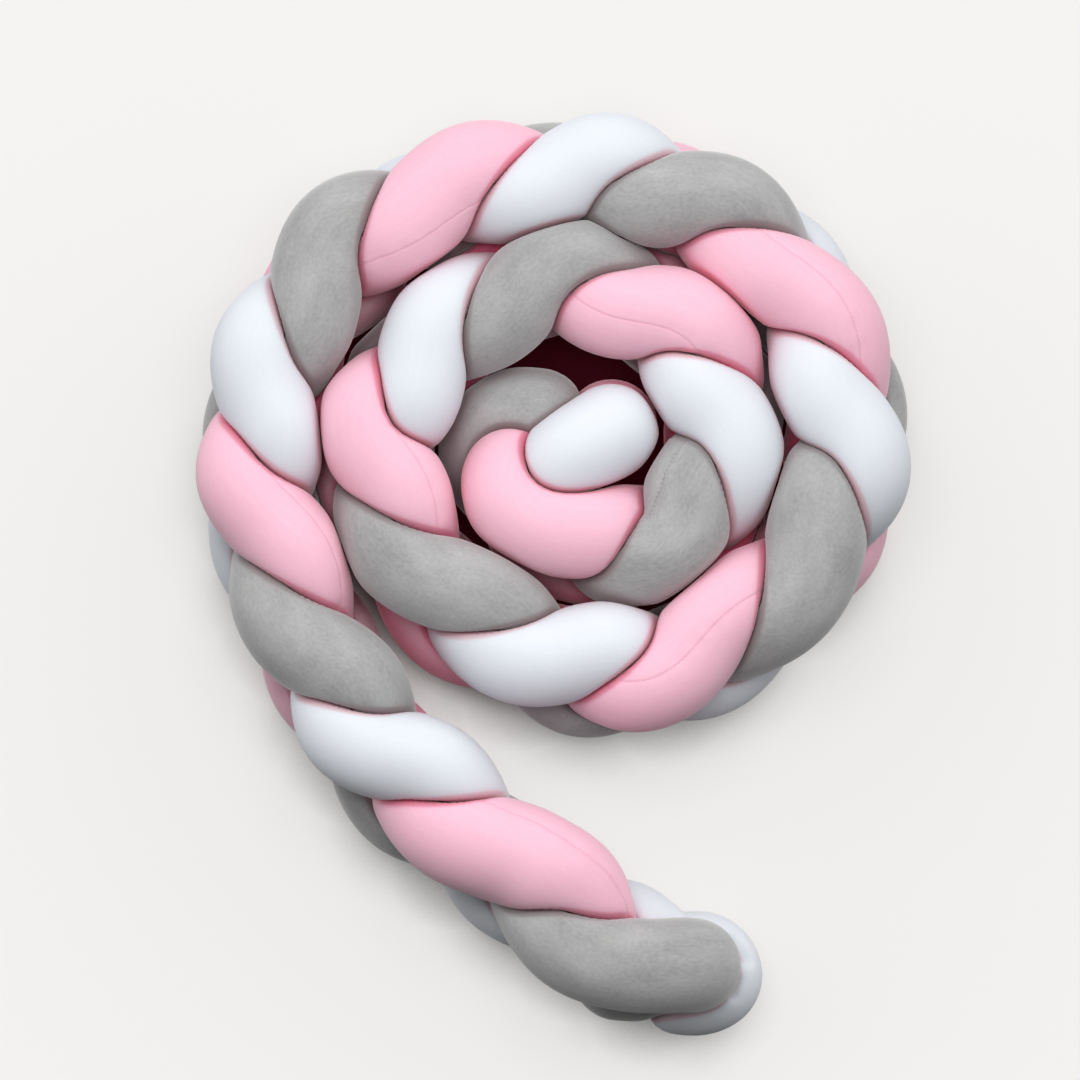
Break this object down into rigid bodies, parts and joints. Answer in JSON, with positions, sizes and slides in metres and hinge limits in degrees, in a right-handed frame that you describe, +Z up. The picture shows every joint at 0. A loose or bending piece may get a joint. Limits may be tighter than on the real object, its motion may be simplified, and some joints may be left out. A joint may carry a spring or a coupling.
{
  "type": "plaited crib bumper",
  "caption": "Plaited crib bumper of soft stuffed velvet tubes, standing on its edge and coiled into a flat spiral with a loose tail.",
  "frame": {"origin": "centre of the bounding box at floor level, under the coil", "axes": "+Z up, across the width of the plait, which stands on its edge; +Y along the longest side, away from the loose tail"},
  "size_m": [0.5141, 0.6664, 0.1362],
  "materials": {
    "grey_velvet": "short soft pile",
    "pink_velvet": "short soft pile",
    "white_velvet": "short soft pile"
  },
  "bodies": {
    "root": {"strand_grey": "grey_velvet", "strand_pink": "pink_velvet", "strand_white": "white_velvet"}
  },
  "joints": []
}
